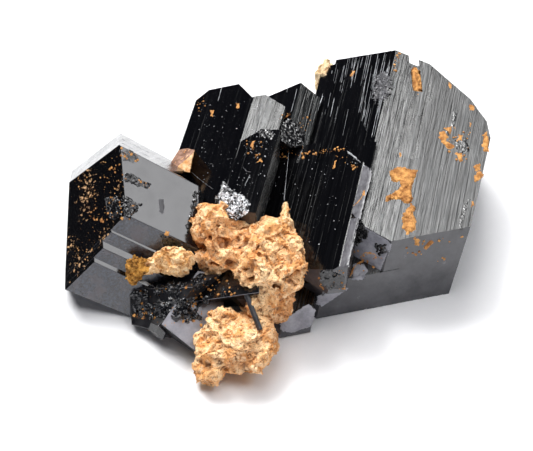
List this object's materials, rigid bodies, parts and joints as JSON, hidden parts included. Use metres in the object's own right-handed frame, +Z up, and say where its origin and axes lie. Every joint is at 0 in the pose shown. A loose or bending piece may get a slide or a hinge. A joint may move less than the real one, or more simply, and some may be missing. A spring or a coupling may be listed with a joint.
{
  "type": "black tourmaline crystal cluster",
  "caption": "Cluster of striated black tourmaline prisms grown together, with lumps of tan feldspar rock between them, lying on the flat side of its largest crystal.",
  "frame": {"origin": "middle of the underside of the object's bounding box, on the surface it rests on", "axes": "+X across the cluster along its longest extent, from the stout left crystal to the large right one; +Z up; -Y towards the pointed ends of the lying prisms"},
  "size_m": [0.0632, 0.061, 0.0188],
  "materials": {
    "schorl": "glassy black crystal, striated along the prisms",
    "feldspar": "rough iron-stained tan feldspar",
    "ochre": "dull yellow-ochre crust",
    "cream": "dull cream feldspar grains"
  },
  "bodies": {
    "root": {"schorl_crystals": "schorl", "matrix_centre": "feldspar", "matrix_low": "feldspar", "ochre_crust": "ochre", "orange_block": "ochre", "slot_filling": "ochre", "cream_grains": "cream"}
  },
  "joints": []
}
